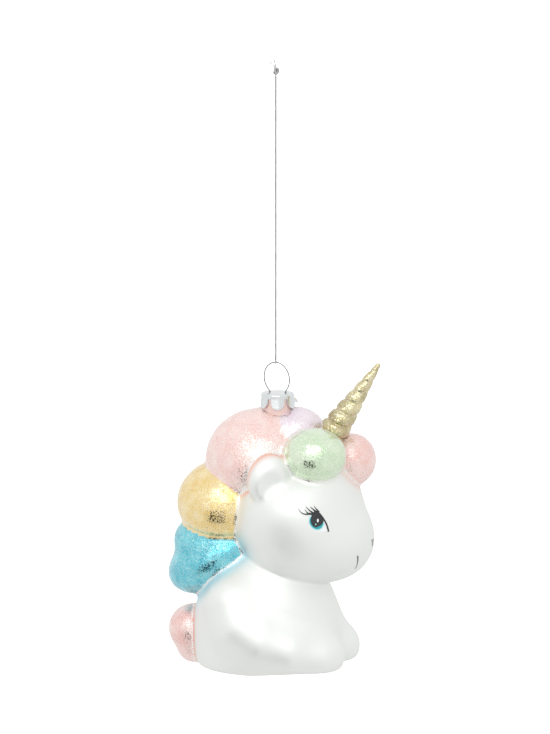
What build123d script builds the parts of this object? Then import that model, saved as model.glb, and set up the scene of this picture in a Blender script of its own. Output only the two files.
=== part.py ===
from build123d import *
from build123d.topology import SkipClean
import math
import os

# A hanging ornament: a sitting unicorn of blown glass with glitter-coated curls,
# a gilded horn, a metal crown cap, a wire loop and a knotted thread.
# Millimetres. The origin is where the two strands of the thread leave the knot.
# +Z is up, the animal faces +X and its right side is towards -Y.

# Thread and knot
thread_diameter = 0.5
thread_drop = 101.4
thread_clearance = 0.04
knot_radius = 1.15
knot_foot_radius = 0.8
knot_top_radius = 0.6
knot_height = 3.2
knot_wrap_radius = 0.42
knot_wrap_spacing = 0.95
knot_wrap_tilt = 22.0
tail_end_length = 4.6
tail_end_leans = (-14.0, -34.0)

# Wire loop with two legs that hang inside the glass neck
wire_diameter = 0.5
loop_half_width = 4.65
loop_half_height = 5.75
loop_lean = 12.0
loop_rise = 10.7
loop_bend_rise = 0.9
leg_length = 14.0

# Crown cap of thin sheet with six tongue-shaped petals
cap_outer_radius = 5.95
cap_sheet = 0.35
cap_shoulder_radius = 0.8
cap_collar_height = 1.7
cap_fit_clearance = 0.12
wire_hole_clearance = 0.25
petal_count = 6
petal_width = 4.7
petal_length = 3.7
petal_straight_length = 1.45
petal_flare = 8.0
splayed_petal_flare = 41.0
splayed_petal_turn = 48.0

# Glass neck; its rim stands above the top of the crown curl
glass_wall = 1.1
neck_show = 6.0
cap_room = 0.3

# Swellings of the glass are eggs, each round about an axis; a place is measured from the
# middle of the figure's base, and an offset from the middle of the head
upright = (0, 0, 1)
crosswise = (0, 1, 0)
lengthwise = (1, 0, 0)
head_place = (9.6, 0.0, 52.5)
head_axis = (1.0, 0.0, -0.25)
head_radius = 21.2
head_half_length = 25.0
brow_offset = (10.4, 0.0, 16.5)
brow_radius = 9.0
brow_half_length = 13.0
muzzle_offset = (13.2, 0.0, -6.2)
muzzle_radius = 12.7
muzzle_half_length = 14.0
ear_offset = (-6.8, 17.4, 17.6)
ear_axis = (-0.25, 1.0, 0.3)
ear_radius = 8.2
ear_half_length = 4.6

# Body, chest and forelegs
body_place_x = -5.4
body_radius = 23.8
body_waist_height = 15.0
chest_place = (7.5, 0.0, 24.5)
chest_radius = 16.8
chest_half_length = 22.0
foreleg_place = (8.6, 11.8, 14.6)
foreleg_axis = (1.0, -0.18, -0.45)
foreleg_radius = 8.0
foreleg_half_length = 17.5
hoof_place = (17.4, 9.8, 8.4)
hoof_axis = (1.0, -0.04, 0.0)
hoof_radius = 6.6
hoof_half_length = 10.4

# Glitter-coated curls of the mane, and the tail
glitter_thickness = 0.3
crown_offset = (-15.4, 0.0, 21.9)
crown_radius = 18.3
crown_half_length = 16.5
top_lock_offset = (-0.9, 3.0, 32.4)
top_lock_radius = 8.2
top_lock_half_length = 9.5
right_lock_offset = (8.4, -10.0, 26.7)
right_lock_radius = 9.0
right_lock_half_length = 10.2
left_lock_offset = (4.4, 10.4, 24.0)
left_lock_radius = 8.5
left_lock_half_length = 9.6
forelock_offset = (17.2, 4.0, 22.9)
forelock_radius = 8.7
forelock_half_length = 9.2
nape_lock_offset = (-29.4, 0.0, 5.2)
nape_lock_radius = 15.9
nape_lock_half_length = 14.6
shoulder_lock_offset = (-32.9, 0.0, -16.4)
shoulder_lock_radius = 11.3
shoulder_lock_half_length = 15.2
tail_place = (-30.6, -2.0, 10.9)
tail_radius = 8.6
tail_half_length = 10.3

# Horn, seated on a glass stub among the curls
horn_offset = (12.2, 0.0, 34.2)
horn_tilt = 34.0
horn_length = 29.5
horn_base_radius = 4.7
horn_tip_radius = 0.7
horn_turns = 6.5
horn_twist_depth = 0.13
horn_sections_per_turn = 8
horn_collar_radius = 4.0
horn_collar_height = 1.6
horn_stub_radius = 3.7
horn_stub_length = 14.0

# Levels, from the hanging point down
thread_radius = thread_diameter / 2
wire_radius = wire_diameter / 2
strand_offset = wire_radius + thread_radius + thread_clearance
loop_top_z = -thread_drop
cap_top_z = loop_top_z - loop_rise
rim_z = cap_top_z - cap_sheet
crown_top_height = head_place[2] + crown_offset[2] + crown_radius
base_z = rim_z - neck_show - crown_top_height

# The loop is a leaning ellipse; its crown is under the thread and it ends at the cap's top
lean = math.radians(loop_lean)
loop_reach = math.hypot(loop_half_height * math.cos(lean), loop_half_width * math.sin(lean))
loop_phase = math.atan2(loop_half_width * math.sin(lean), loop_half_height * math.cos(lean))


def loop_offset(angle):
    """Place on the leaning ellipse, from its middle."""
    across = loop_half_width * math.cos(angle)
    along = loop_half_height * math.sin(angle)
    x = across * math.cos(lean) - along * math.sin(lean)
    z = across * math.sin(lean) + along * math.cos(lean)
    return (x, z)


def hole_offset(angle):
    """How far in from the loop's end its bend brings the wire upright at the cap's top."""
    across = loop_half_width * math.sin(angle)
    along = loop_half_height * math.cos(angle)
    down_x = across * math.cos(lean) + along * math.sin(lean)
    down_z = across * math.sin(lean) - along * math.cos(lean)
    bend = math.atan2(down_x, abs(down_z))
    return loop_bend_rise * math.tan(bend / 2)


loop_middle_x = -loop_offset(math.pi / 2 - loop_phase)[0]
loop_middle_z = loop_top_z - loop_reach
loop_dip = math.asin((cap_top_z + loop_bend_rise - loop_middle_z) / loop_reach)
loop_start = loop_dip - loop_phase
loop_end = math.pi - loop_dip - loop_phase
right_hole_x = loop_middle_x + loop_offset(loop_start)[0] + hole_offset(loop_start)
left_hole_x = loop_middle_x + loop_offset(loop_end)[0] - hole_offset(loop_end)
neck_x = (right_hole_x + left_hole_x) / 2

neck_radius = cap_outer_radius - cap_sheet - cap_fit_clearance
bore_radius = neck_radius - glass_wall
neck_axis = Pos(neck_x, 0, 0)
on_foot = (Align.CENTER, Align.CENTER, Align.MIN)


# Thread and knot

def make_thread():
    """One thread from the knot, under the wire at the loop's crown and back to the knot."""
    front_top = (0, -strand_offset, 0)
    front_low = (0, -strand_offset, loop_top_z)
    lowest = (0, 0, loop_top_z - strand_offset)
    back_low = (0, strand_offset, loop_top_z)
    back_top = (0, strand_offset, 0)
    path = Line(front_top, front_low) + ThreePointArc(front_low, lowest, back_low) + Line(back_low, back_top)
    section = Plane(origin=front_top, z_dir=(0, 0, -1)) * Circle(thread_radius)
    thread = sweep(section, path=path)
    expected = math.pi * thread_radius**2 * path.length
    print(f"thread bend radius {strand_offset:.2f} mm, length {path.length:.1f} mm")
    print(f"thread volume {thread.volume:.2f} mm3, section times length {expected:.2f} mm3")
    return thread


def make_knot():
    """A small tight knot on the thread: a flat-bottomed bud, two wraps round it and two cut ends."""
    middle_z = knot_height / 2
    foot = (knot_foot_radius, 0)
    top = (knot_top_radius, knot_height)
    outline = (Line((0, 0), foot) + ThreePointArc(foot, (knot_radius, middle_z), top)
               + Line(top, (0, knot_height)) + Line((0, knot_height), (0, 0)))
    knot = revolve(make_face(Plane.XZ * outline), Axis.Z)
    for side in (1, -1):
        wrap = Torus(knot_radius, knot_wrap_radius)
        knot += Pos(0, 0, middle_z + side * knot_wrap_spacing / 2) * Rot(side * knot_wrap_tilt, 0, 0) * wrap
    for lean_angle in tail_end_leans:
        tail_end = Cylinder(thread_radius, tail_end_length, align=on_foot)
        knot += Pos(0, 0, middle_z) * Rot(0, lean_angle, 0) * tail_end
    return knot


# Wire loop

def make_hanger_wire():
    """The leaning loop, bent down at its ends into two legs that pass through the cap."""
    left_top = (left_hole_x, cap_top_z)
    left_foot = (left_hole_x, cap_top_z - leg_length)
    right_top = (right_hole_x, cap_top_z)
    right_foot = (right_hole_x, cap_top_z - leg_length)
    ellipse = EllipticalCenterArc((0, 0), loop_half_width, loop_half_height,
                                  math.degrees(loop_start), arc_size=math.degrees(loop_end - loop_start))
    loop = Pos(loop_middle_x, loop_middle_z) * Rot(0, 0, loop_lean) * ellipse
    path = (Line(left_foot, left_top) + TangentArc(left_top, loop @ 1, tangent=(0, 1)) + loop
            + TangentArc(right_top, loop @ 0, tangent=(0, 1)) + Line(right_top, right_foot))
    section = Plane(origin=(left_hole_x, 0, cap_top_z - leg_length), z_dir=(0, 0, 1)) * Circle(wire_radius)
    return sweep(section, path=Plane.XZ * path)


# Crown cap

def petal_band(flare, turn, width_angle):
    """A flared band of sheet below the collar, turned about the neck."""
    inner = cap_outer_radius - cap_sheet
    slope = math.radians(flare)
    fall = petal_length * math.cos(slope)
    spread = petal_length * math.sin(slope)
    top_z = cap_top_z - cap_collar_height
    outline = Polyline((inner, top_z), (cap_outer_radius, top_z), (cap_outer_radius + spread, top_z - fall),
                       (inner + spread, top_z - fall), close=True)
    band = revolve(make_face(Plane.XZ * outline), Axis.Z, width_angle)
    return Rot(0, 0, turn - width_angle / 2) * band


def petal_tongue(flare, turn):
    """A tongue outline, pressed outwards through the band to round the petal's end."""
    slope = math.radians(flare)
    fall = petal_length * math.cos(slope)
    top_z = cap_top_z - cap_collar_height
    half = petal_width / 2
    straight = petal_straight_length
    outline = (Polyline((-half, straight), (-half, -straight)) + Line((half, -straight), (half, straight))
               + Line((half, straight), (-half, straight))
               + ThreePointArc((-half, -straight), (0, -fall), (half, -straight)))
    tongue = extrude(make_face(outline), cap_outer_radius + petal_length)
    upright = Plane(origin=(0, 0, top_z), x_dir=(0, 1, 0), z_dir=(1, 0, 0)) * tongue
    return Rot(0, 0, turn) * upright


def make_cap():
    """Rounded cup of sheet, petals round its edge and two holes for the wire."""
    inner = cap_outer_radius - cap_sheet
    inside_round = cap_shoulder_radius - cap_sheet
    low = cap_top_z - cap_collar_height
    diagonal = math.sqrt(0.5)
    shoulder_x = cap_outer_radius - cap_shoulder_radius
    shoulder_z = cap_top_z - cap_shoulder_radius
    outer_mid = (shoulder_x + cap_shoulder_radius * diagonal, shoulder_z + cap_shoulder_radius * diagonal)
    inner_mid = (shoulder_x + inside_round * diagonal, shoulder_z + inside_round * diagonal)
    outline = (Line((0, rim_z), (0, cap_top_z)) + Line((0, cap_top_z), (shoulder_x, cap_top_z))
               + ThreePointArc((shoulder_x, cap_top_z), outer_mid, (cap_outer_radius, shoulder_z))
               + Line((cap_outer_radius, shoulder_z), (cap_outer_radius, low))
               + Line((cap_outer_radius, low), (inner, low)) + Line((inner, low), (inner, shoulder_z))
               + ThreePointArc((inner, shoulder_z), inner_mid, (shoulder_x, rim_z))
               + Line((shoulder_x, rim_z), (0, rim_z)))
    cap = revolve(make_face(Plane.XZ * outline), Axis.Z)
    pitch = 360 / petal_count
    for k in range(petal_count):
        turn = splayed_petal_turn + k * pitch
        flare = splayed_petal_flare if k == 0 else petal_flare
        cap += petal_band(flare, turn, pitch) & petal_tongue(flare, turn)
    cap = neck_axis * cap
    for hole_x in (right_hole_x, left_hole_x):
        hole = Cylinder(wire_radius + wire_hole_clearance, 2 * cap_sheet)
        cap -= Pos(hole_x, 0, (cap_top_z + rim_z) / 2) * hole
    return cap


# Glass figure

def offset_from(place, shift):
    """A place moved by a shift."""
    return tuple(a + b for a, b in zip(place, shift))


def turned_form(outline):
    """A solid turned about Z in two halves, so that none of its faces closes on itself."""
    face = make_face(Plane.XZ * outline)
    half = revolve(face, Axis.Z, 180)
    return half + Rot(0, 0, 180) * half


def egg(place, axis, radius, half_length, grow=0.0):
    """An egg form above the base, round about its axis, grown or drawn in all over."""
    width = radius + grow
    reach = half_length + grow
    outline = EllipticalCenterArc((0, 0), width, reach, -90, arc_size=180) + Line((0, reach), (0, -reach))
    return Plane(origin=(place[0], place[1], base_z + place[2]), z_dir=axis) * turned_form(outline)


curls = {
    "crown_glitter": (offset_from(head_place, crown_offset), crosswise, crown_radius, crown_half_length),
    "top_lock_glitter": (offset_from(head_place, top_lock_offset), crosswise,
                         top_lock_radius, top_lock_half_length),
    "right_lock_glitter": (offset_from(head_place, right_lock_offset), lengthwise,
                           right_lock_radius, right_lock_half_length),
    "left_lock_glitter": (offset_from(head_place, left_lock_offset), lengthwise,
                          left_lock_radius, left_lock_half_length),
    "forelock_glitter": (offset_from(head_place, forelock_offset), upright,
                         forelock_radius, forelock_half_length),
    "nape_lock_glitter": (offset_from(head_place, nape_lock_offset), upright,
                          nape_lock_radius, nape_lock_half_length),
    "shoulder_lock_glitter": (offset_from(head_place, shoulder_lock_offset), lengthwise,
                              shoulder_lock_radius, shoulder_lock_half_length),
    "tail_glitter": (tail_place, upright, tail_radius, tail_half_length),
}


def body_dome(inset):
    """The round sitting body: an egg cut flat at the base, whose top is in the middle of the head."""
    radius = body_radius - inset
    reach = head_place[2] - body_waist_height - inset
    floor = inset
    start = math.asin((floor - body_waist_height) / reach)
    foot = radius * math.cos(start)
    side = EllipticalCenterArc((0, body_waist_height), radius, reach,
                               math.degrees(start), arc_size=90 - math.degrees(start))
    outline = Line((0, floor), (foot, floor)) + side + Line((0, body_waist_height + reach), (0, floor))
    return Pos(body_place_x, 0, base_z) * turned_form(outline)


def on_side(place, side):
    """A place or direction on the animal's left, 1, or right, -1."""
    return (place[0], side * place[1], place[2])


def figure_forms(inset):
    """Every swelling of the figure, each drawn in by the inset."""
    forms = [
        body_dome(inset),
        egg(chest_place, upright, chest_radius, chest_half_length, -inset),
        egg(head_place, head_axis, head_radius, head_half_length, -inset),
        egg(offset_from(head_place, brow_offset), upright, brow_radius, brow_half_length, -inset),
        egg(offset_from(head_place, muzzle_offset), crosswise, muzzle_radius, muzzle_half_length, -inset),
    ]
    for side in (1, -1):
        ear_place = offset_from(head_place, on_side(ear_offset, side))
        forms.append(egg(ear_place, on_side(ear_axis, side), ear_radius, ear_half_length, -inset))
        forms.append(egg(on_side(foreleg_place, side), on_side(foreleg_axis, side),
                         foreleg_radius, foreleg_half_length, -inset))
        forms.append(egg(on_side(hoof_place, side), on_side(hoof_axis, side),
                         hoof_radius, hoof_half_length, -inset))
    forms.extend(egg(*curl, -inset) for curl in curls.values())
    return forms


def cap_clearance():
    """The room that the cap and its petals keep free above the curls."""
    low = cap_top_z - cap_collar_height - petal_length - cap_room
    slope = math.radians(petal_flare)
    reach = cap_outer_radius + petal_length * math.sin(slope) + cap_room
    tall = cap_top_z - low
    room = neck_axis * Pos(0, 0, low) * Cylinder(reach, tall, align=on_foot)
    splayed_slope = math.radians(splayed_petal_flare)
    spread = petal_length * math.sin(splayed_slope)
    fall = petal_length * math.cos(splayed_slope)
    top = cap_top_z - cap_collar_height
    outer = cap_outer_radius + spread + cap_room
    outline = Polyline((bore_radius, cap_top_z), (outer, cap_top_z), (outer, top - fall - cap_room),
                       (cap_outer_radius, top - cap_room), (bore_radius, top - cap_room), close=True)
    pitch = 360 / petal_count
    sector = Rot(0, 0, splayed_petal_turn - pitch / 2) * revolve(make_face(Plane.XZ * outline), Axis.Z, pitch)
    return room + neck_axis * sector


def neck_tube(radius, top_z):
    """A round bar on the neck's axis, from the middle of the crown curl up."""
    low = base_z + head_place[2] + crown_offset[2]
    return neck_axis * Pos(0, 0, low) * Cylinder(radius, top_z - low, align=on_foot)


def neck_outside():
    """The neck's outside, with its rim bevelled to sit inside the rounded cap."""
    bevel = cap_shoulder_radius - cap_sheet
    narrow = neck_radius - bevel
    rim = Cone(neck_radius, narrow, bevel, align=on_foot)
    return neck_tube(neck_radius, rim_z - bevel) + neck_axis * Pos(0, 0, rim_z - bevel) * rim


horn_place = offset_from(head_place, horn_offset)
horn_frame = Pos(horn_place[0], horn_place[1], base_z + horn_place[2]) * Rot(0, horn_tilt, 0)


def make_glass_outside(cap_space):
    """The outside of the glass, filled: swellings, neck and the stub under the horn."""
    stub = Cylinder(horn_stub_radius, horn_stub_length, align=(Align.CENTER, Align.CENTER, Align.MAX))
    filled = Part() + figure_forms(0)
    filled -= cap_space
    filled += neck_outside()
    return filled + horn_frame * Pos(0, 0, -horn_collar_height) * stub


def make_glass_figure(outside):
    """The blown shell: an even wall round the hollow, open at the neck."""
    hollow = Part() + figure_forms(glass_wall)
    hollow += neck_tube(bore_radius, rim_z + glass_wall)
    return outside - hollow


def make_horn():
    """A twisted cone on a plain collar; its sections circle round the axis as they rise."""
    count = round(horn_turns * horn_sections_per_turn)
    sections = []
    for k in range(count + 1):
        share = k / count
        radius = horn_base_radius + (horn_tip_radius - horn_base_radius) * share
        turn = 2 * math.pi * horn_turns * share
        swing = horn_twist_depth * radius
        shift = (swing * math.cos(turn), swing * math.sin(turn))
        sections.append(Pos(shift[0], shift[1], horn_length * share) * Circle(radius - swing))
    horn = loft(sections)
    horn += Pos(0, 0, -horn_collar_height / 2) * Cylinder(horn_collar_radius, horn_collar_height)
    return horn_frame * horn


def largest_solid(shape):
    """The one solid that stands for a piece, without stray slivers."""
    return max(shape.solids(), key=lambda solid: solid.volume)


def make_coats(outside, horn, cap_space):
    """A thin glitter layer over the bare part of each curl; neighbours meet in the creases."""
    taken = outside + horn
    coats = {}
    for name, curl in curls.items():
        layer = egg(*curl, glitter_thickness)
        coats[name] = largest_solid(layer - taken - cap_space)
        taken = taken + layer
    return coats


pieces = {
    "cord_knot": make_knot(),
    "hanging_cord": make_thread(),
    "hanger_wire": make_hanger_wire(),
    "cap": make_cap(),
}
# The glass keeps its halves apart, so its faces aren't merged into closed ones
with SkipClean():
    cap_space = cap_clearance()
    glass_outside = make_glass_outside(cap_space)
    pieces["glass_figure"] = make_glass_figure(glass_outside)
    pieces["horn"] = largest_solid(make_horn() - glass_outside)
    pieces.update(make_coats(glass_outside, pieces["horn"], cap_space))

os.makedirs("parts", exist_ok=True)
for name, piece in pieces.items():
    export_step(piece, f"parts/{name}.step")
    print(f"{name}: {len(piece.solids())} solid, {piece.volume:.1f} mm3")
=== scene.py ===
"""A hanging ornament: a sitting unicorn of blown glass with glitter-coated curls.

Sizes are in millimetres, with +X the way the animal faces and +Y its left side. Heights of the
figure are measured up from its base, and heights of the thread, wire and cap from the knot.
"""
import logging
import math
from dataclasses import dataclass, replace
from enum import Enum
from typing import Callable, Iterable, Sequence

import bpy
import numpy as np
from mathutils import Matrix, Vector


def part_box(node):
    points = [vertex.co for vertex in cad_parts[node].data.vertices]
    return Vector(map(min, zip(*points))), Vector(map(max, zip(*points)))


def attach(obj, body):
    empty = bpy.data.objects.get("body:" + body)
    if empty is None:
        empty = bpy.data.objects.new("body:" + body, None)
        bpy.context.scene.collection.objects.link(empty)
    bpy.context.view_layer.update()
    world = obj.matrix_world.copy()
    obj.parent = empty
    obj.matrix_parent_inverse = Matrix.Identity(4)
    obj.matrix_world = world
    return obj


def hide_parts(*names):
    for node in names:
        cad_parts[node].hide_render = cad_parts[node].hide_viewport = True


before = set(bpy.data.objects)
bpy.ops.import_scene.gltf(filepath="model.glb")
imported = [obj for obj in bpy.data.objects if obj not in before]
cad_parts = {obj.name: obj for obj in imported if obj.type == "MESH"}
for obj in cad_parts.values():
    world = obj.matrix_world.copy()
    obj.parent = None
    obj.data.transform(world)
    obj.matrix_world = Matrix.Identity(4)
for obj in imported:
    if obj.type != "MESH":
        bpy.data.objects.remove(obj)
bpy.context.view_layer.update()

import openvdb
from mathutils import Color, Euler, Matrix, Vector
from mathutils.bvhtree import BVHTree
from mathutils.geometry import delaunay_2d_cdt

Vec3 = tuple[float, float, float]
Pixel = tuple[float, float]
Colour = tuple[float, float, float]
Faces = list[tuple[int, ...]]
Rows = np.ndarray
Material = bpy.types.Material
Piece = bpy.types.Object
Node = bpy.types.Node
Socket = bpy.types.NodeSocket

MM = 0.001
TINY = 1e-9
FULL_TURN = 2 * math.pi
FORWARD = np.array((1.0, 0.0, 0.0))
LEFT = np.array((0.0, 1.0, 0.0))
BASE_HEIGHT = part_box("glass_figure")[0][2] / MM
NECK_X = 0.72
log = logging.getLogger("ornament")


def paint(red: int, green: int, blue: int) -> Colour:
    """Turns an everyday colour, each share 0 to 255, into the linear colour that shaders use."""
    return tuple(Color((red / 255, green / 255, blue / 255)).from_srgb_to_scene_linear())


# Camera and picture frame

@dataclass(frozen=True)
class Viewpoint:
    """The camera of the picture, level with the middle of the thread and figure."""

    azimuth: float = 18.0
    elevation: float = 9.0
    distance: float = 1400.0
    scale: float = 0.354
    aim_height: float = -103.1
    aim_shift: float = -0.248
    frame_width: int = 550
    frame_height: int = 734
    sensor: float = 36.0
    farthest: float = 20000.0

    def axes(self) -> tuple[Rows, Rows, Rows]:
        """Gives the picture's right, up and back directions.

        Returns:
            Three unit vectors.
        """
        turn = math.radians(self.azimuth)
        rise = math.radians(self.elevation)
        right = np.array((math.cos(turn), math.sin(turn), 0.0))
        back = np.array((math.sin(turn) * math.cos(rise), -math.cos(turn) * math.cos(rise), math.sin(rise)))
        return right, np.cross(back, right), back

    def eye(self) -> Rows:
        """Gives the camera's place in millimetres."""
        right, _, back = self.axes()
        return np.array((0.0, 0.0, self.aim_height)) + right * self.aim_shift + back * self.distance

    def ray(self, pixel: Pixel) -> Rows:
        """Gives the direction in which a pixel looks.

        Args:
            pixel: column and row in the picture.

        Returns:
            A unit vector.
        """
        right, up, back = self.axes()
        focal = self.distance / self.scale
        across = (pixel[0] - self.frame_width / 2) / focal
        down = (pixel[1] - self.frame_height / 2) / focal
        way = right * across - up * down - back
        return way / np.linalg.norm(way)

    def build(self) -> Piece:
        """Makes the camera and hands it to the scene.

        Returns:
            The camera.
        """
        lens = bpy.data.cameras.new("picture_camera")
        lens.sensor_fit = "VERTICAL"
        lens.sensor_height = self.sensor
        lens.lens = self.distance / self.scale * self.sensor / self.frame_height
        lens.clip_end = self.farthest * MM
        camera = bpy.data.objects.new("picture_camera", lens)
        turn = Matrix(self.axes()).transposed().to_4x4()
        camera.matrix_world = Matrix.Translation(Vector(self.eye() * MM)) @ turn
        bpy.context.collection.objects.link(camera)
        bpy.context.scene.camera = camera
        return camera


# Finishes

class NodeSheet:
    """A node tree with short ways to add and join nodes."""

    def __init__(self, owner: Material | bpy.types.World, shader: str = "Principled BSDF") -> None:
        """Starts the nodes of a material or of the world.

        Args:
            owner: what the nodes belong to.
            shader: the shader that it starts with.
        """
        owner.use_nodes = True
        self.owner = owner
        self.tree = owner.node_tree
        self.shader = self.tree.nodes[shader]

    def add(self, kind: str, **settings: object) -> Node:
        """Adds a node.

        Args:
            kind: the node's type without its ShaderNode prefix.
            settings: properties of the node.

        Returns:
            The new node.
        """
        node = self.tree.nodes.new("ShaderNode" + kind)
        for key, value in settings.items():
            setattr(node, key, value)
        return node

    def fill(self, node: Node, inputs: dict[str | int, object]) -> Node:
        """Fills a node's inputs.

        Args:
            node: the node.
            inputs: for an input's name or number, its own value or the socket that is joined to it.

        Returns:
            The same node.
        """
        for place, value in inputs.items():
            if isinstance(value, Socket):
                self.tree.links.new(value, node.inputs[place])
            else:
                node.inputs[place].default_value = value
        return node

    def shade(self, **inputs: object) -> None:
        """Fills the shader's inputs, with underscores for the spaces in their names."""
        self.fill(self.shader, {key.replace("_", " "): value for key, value in inputs.items()})

    def places(self) -> Socket:
        """Gives the object's own coordinates."""
        return self.add("TexCoord").outputs["Object"]

    def noise(self, size: float, detail: float = 2.0) -> Socket:
        """Adds noise with clouds of a size in millimetres and some finer layers."""
        inputs = {"Scale": 1.0 / (size * MM), "Detail": detail, "Vector": self.places()}
        return self.fill(self.add("TexNoise"), inputs).outputs["Fac"]

    def grains(self, size: float) -> Node:
        """Adds a pattern of cells, one for each grain of a size in millimetres."""
        return self.fill(self.add("TexVoronoi"), {"Scale": 1.0 / (size * MM), "Vector": self.places()})

    def chances(self, grains: Node) -> list[Socket]:
        """Gives three random values for each grain."""
        parts = self.fill(self.add("SeparateColor"), {"Color": grains.outputs["Color"]})
        return [parts.outputs[name] for name in ("Red", "Green", "Blue")]

    def spread(self, value: Socket, low: Sequence[float], high: Sequence[float]) -> Socket:
        """Maps a value to another range, whose two ends each give the value and its result."""
        ends = {"From Min": low[0], "From Max": high[0], "To Min": low[1], "To Max": high[1]}
        return self.fill(self.add("MapRange"), {"Value": value, **ends}).outputs["Result"]

    def blend(self, share: Socket, first: Colour | Socket, second: Colour | Socket) -> Socket:
        """Mixes two colours, each of them the same all over or a socket.

        Args:
            share: how much of the second colour there is.
            first: the colour at share 0.
            second: the colour at share 1.

        Returns:
            The mixed colour.
        """
        pair = [value if isinstance(value, Socket) else (*value, 1.0) for value in (first, second)]
        node = self.add("Mix", data_type="RGBA")
        # The mix node's colours are its inputs 6 and 7 and its output 2
        return self.fill(node, {"Factor": share, 6: pair[0], 7: pair[1]}).outputs[2]

    def vector(self, operation: str, inputs: dict[str | int, object]) -> Socket:
        """Adds one step of reckoning with directions."""
        return self.fill(self.add("VectorMath", operation=operation), inputs).outputs["Vector"]

    def tilt(self, grains: Node, share: Socket) -> Socket:
        """Turns each grain's face a little out of the surface.

        Args:
            grains: the cell pattern whose colours are used as random directions.
            share: how far each grain leans.

        Returns:
            The tilted normal.
        """
        centred = self.vector("SUBTRACT", {0: grains.outputs["Color"], 1: (0.5, 0.5, 0.5)})
        scaled = self.vector("SCALE", {0: centred, "Scale": share})
        leaning = self.vector("ADD", {0: scaled, 1: self.add("NewGeometry").outputs["Normal"]})
        return self.vector("NORMALIZE", {0: leaning})

    def bump(self, height: Socket, strength: float, depth: float) -> Socket:
        """Adds bumps of a depth in millimetres and gives their normal."""
        inputs = {"Height": height, "Strength": strength, "Distance": depth * MM}
        return self.fill(self.add("Bump"), inputs).outputs["Normal"]


@dataclass(frozen=True)
class Finish:
    """What every finish has: a name and a way to make its material."""

    name: str

    def coat(self, sheet: NodeSheet) -> None:
        """Joins the finish's own nodes to the shader of an empty material."""
        raise NotImplementedError

    def make(self) -> Material:
        """Makes the material.

        Returns:
            The finish as a material.
        """
        sheet = NodeSheet(bpy.data.materials.new(self.name))
        self.coat(sheet)
        return sheet.owner


@dataclass(frozen=True)
class PearlFinish(Finish):
    """Satin pearl paint on mirrored glass, with airbrushed edges read from the mesh."""

    roughness: float = 0.48
    metal: float = 0.5
    cloud_size: float = 6.0
    cloud: Colour = paint(222, 226, 220)
    cloud_share: float = 0.06
    wear_size: float = 2.5
    grain_size: float = 0.9
    grain_depth: float = 0.012

    def coat(self, sheet: NodeSheet) -> None:
        """Joins a clouded colour, an uneven gloss and a fine grain.

        Args:
            sheet: the nodes of the material.
        """
        tint = sheet.add("VertexColor", layer_name="airbrush").outputs["Color"]
        veil = sheet.spread(sheet.noise(self.cloud_size, 3.0), (0.3, 0.0), (0.7, self.cloud_share))
        wear = ((0.3, self.roughness - 0.03), (0.7, self.roughness + 0.04))
        grain = sheet.bump(sheet.noise(self.grain_size), 0.12, self.grain_depth)
        sheet.shade(Base_Color=sheet.blend(veil, tint, self.cloud), Metallic=self.metal, Normal=grain,
                    Roughness=sheet.spread(sheet.noise(self.wear_size), *wear),
                    Coat_Weight=0.12, Coat_Roughness=0.4, Specular_IOR_Level=0.5)


@dataclass(frozen=True)
class GlitterFinish(Finish):
    """Fine glitter in lacquer over mirrored glass, fading to pearl paint at the creases."""

    colour: Colour
    deep: Colour
    grain_size: float = 0.3
    cloud_size: float = 5.0
    lean: float = 0.4
    flat_share: float = 0.4
    metal: float = 0.4
    roughness: float = 0.3
    frost: float = 0.6
    edge: Colour = paint(246, 244, 240)

    def coat(self, sheet: NodeSheet) -> None:
        """Joins grains of several colours, of which the flat ones are mirrors.

        Args:
            sheet: the nodes of the material.
        """
        grains = sheet.grains(self.grain_size)
        pale, rich, flat = sheet.chances(grains)
        thick = sheet.spread(sheet.noise(self.cloud_size, 4.0), (0.35, 0.0), (0.65, 0.75))
        body = sheet.blend(thick, self.colour, self.deep)
        body = sheet.blend(sheet.spread(pale, (0.55, 0.0), (1.0, 0.45)), body, self.edge)
        body = sheet.blend(sheet.spread(rich, (0.6, 0.0), (1.0, 0.5)), body, self.deep)
        cover = sheet.add("Attribute", attribute_name="cover").outputs["Fac"]
        ragged = sheet.fill(sheet.add("Math", operation="MULTIPLY_ADD"), {0: rich, 1: 0.5, 2: cover})
        mask = sheet.spread(ragged.outputs["Value"], (0.45, 0.0), (1.0, 1.0))
        low = self.flat_share - 0.05
        high = self.flat_share + 0.05
        lean = sheet.spread(flat, (low, 0.08), (high, self.lean))
        sheet.shade(Base_Color=sheet.blend(mask, self.edge, body),
                    Roughness=sheet.spread(flat, (low, 0.1), (high, self.roughness)),
                    Metallic=sheet.spread(flat, (low, 0.95), (high, self.metal)),
                    Normal=sheet.tilt(grains, lean), Coat_Weight=0.4, Coat_Roughness=0.15,
                    Sheen_Weight=self.frost, Sheen_Roughness=0.4)


@dataclass(frozen=True)
class BrightMetalFinish(Finish):
    """Bright pressed sheet or drawn wire with faint scuffs."""

    colour: Colour
    roughness: float = 0.1
    scuff_size: float = 1.2
    scuff_shade: float = 0.8
    ripple_size: float = 1.6
    ripple: float = 0.05

    def coat(self, sheet: NodeSheet) -> None:
        """Joins scuffs and a faint ripple.

        Args:
            sheet: the nodes of the material.
        """
        scuff = sheet.noise(self.scuff_size, 4.0)
        darker = tuple(self.scuff_shade * share for share in self.colour)
        colour = sheet.blend(sheet.spread(scuff, (0.35, 0.0), (0.75, 0.35)), self.colour, darker)
        rough = sheet.spread(scuff, (0.3, self.roughness), (0.8, self.roughness + 0.14))
        ripple = sheet.bump(sheet.noise(self.ripple_size), 0.25, self.ripple)
        sheet.shade(Base_Color=colour, Roughness=rough, Normal=ripple, Metallic=1.0)


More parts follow.
